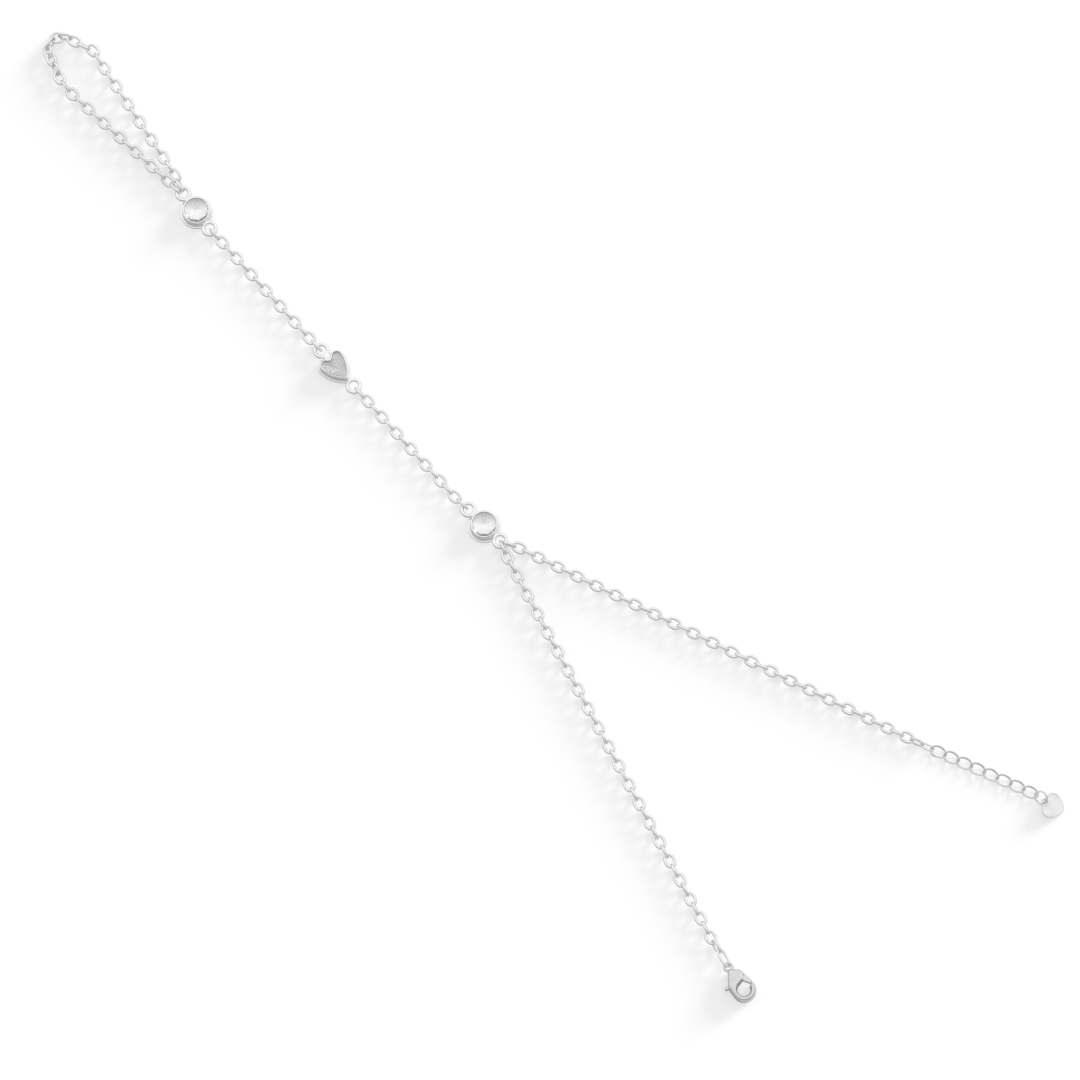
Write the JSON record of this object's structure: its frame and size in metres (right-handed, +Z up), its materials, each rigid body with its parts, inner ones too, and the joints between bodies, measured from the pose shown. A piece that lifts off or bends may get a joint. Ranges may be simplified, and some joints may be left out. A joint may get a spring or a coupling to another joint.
{
  "type": "hand chain",
  "caption": "Fine cable-chain hand jewel laid flat: finger loop, round and heart stone settings on one line, two wrist arms with lobster clasp, extender and heart tag.",
  "frame": {"origin": "middle of the laid-out hand chain, on the surface that it lies on", "axes": "+Z up from the surface, +Y from the wrist towards the finger loop, +X towards the arm with the extender"},
  "size_m": [0.0686, 0.229, 0.0025],
  "materials": {
    "silver": "polished silver plate, softly worn",
    "silver_cast": "polished cast silver with slightly soft edges",
    "silver_thin": "polished thin silver wire",
    "silver_tag": "stamped silver sheet with a fine satin field and a raised rim",
    "stone": "clear faceted stone, colourless"
  },
  "bodies": {
    "hand_chain": {"finger_ring": "silver", "finger_chain_left": "silver", "finger_chain_right": "silver", "finger_setting": "silver", "finger_stone": "stone", "hand_chain_upper": "silver", "heart_setting": "silver", "heart_stone": "stone", "hand_chain_lower": "silver", "wrist_setting": "silver", "wrist_stone": "stone", "clasp_chain": "silver", "clasp_link": "silver", "clasp_body": "silver_cast", "extender_arm_chain": "silver", "extender_link": "silver", "extender_chain": "silver_thin", "tag_ring": "silver", "heart_tag": "silver_tag"},
    "lever": {"clasp_lever": "silver_cast"}
  },
  "joints": [
    {"name": "lever_pivot", "type": "hinge", "parent": "hand_chain", "child": "lever", "pos_m": [-0.03088, -0.09814, 0.0012], "axis": [0, 0, -1], "range_deg": [0, 25], "stiffness_Nm_per_rad": 0.002}
  ]
}
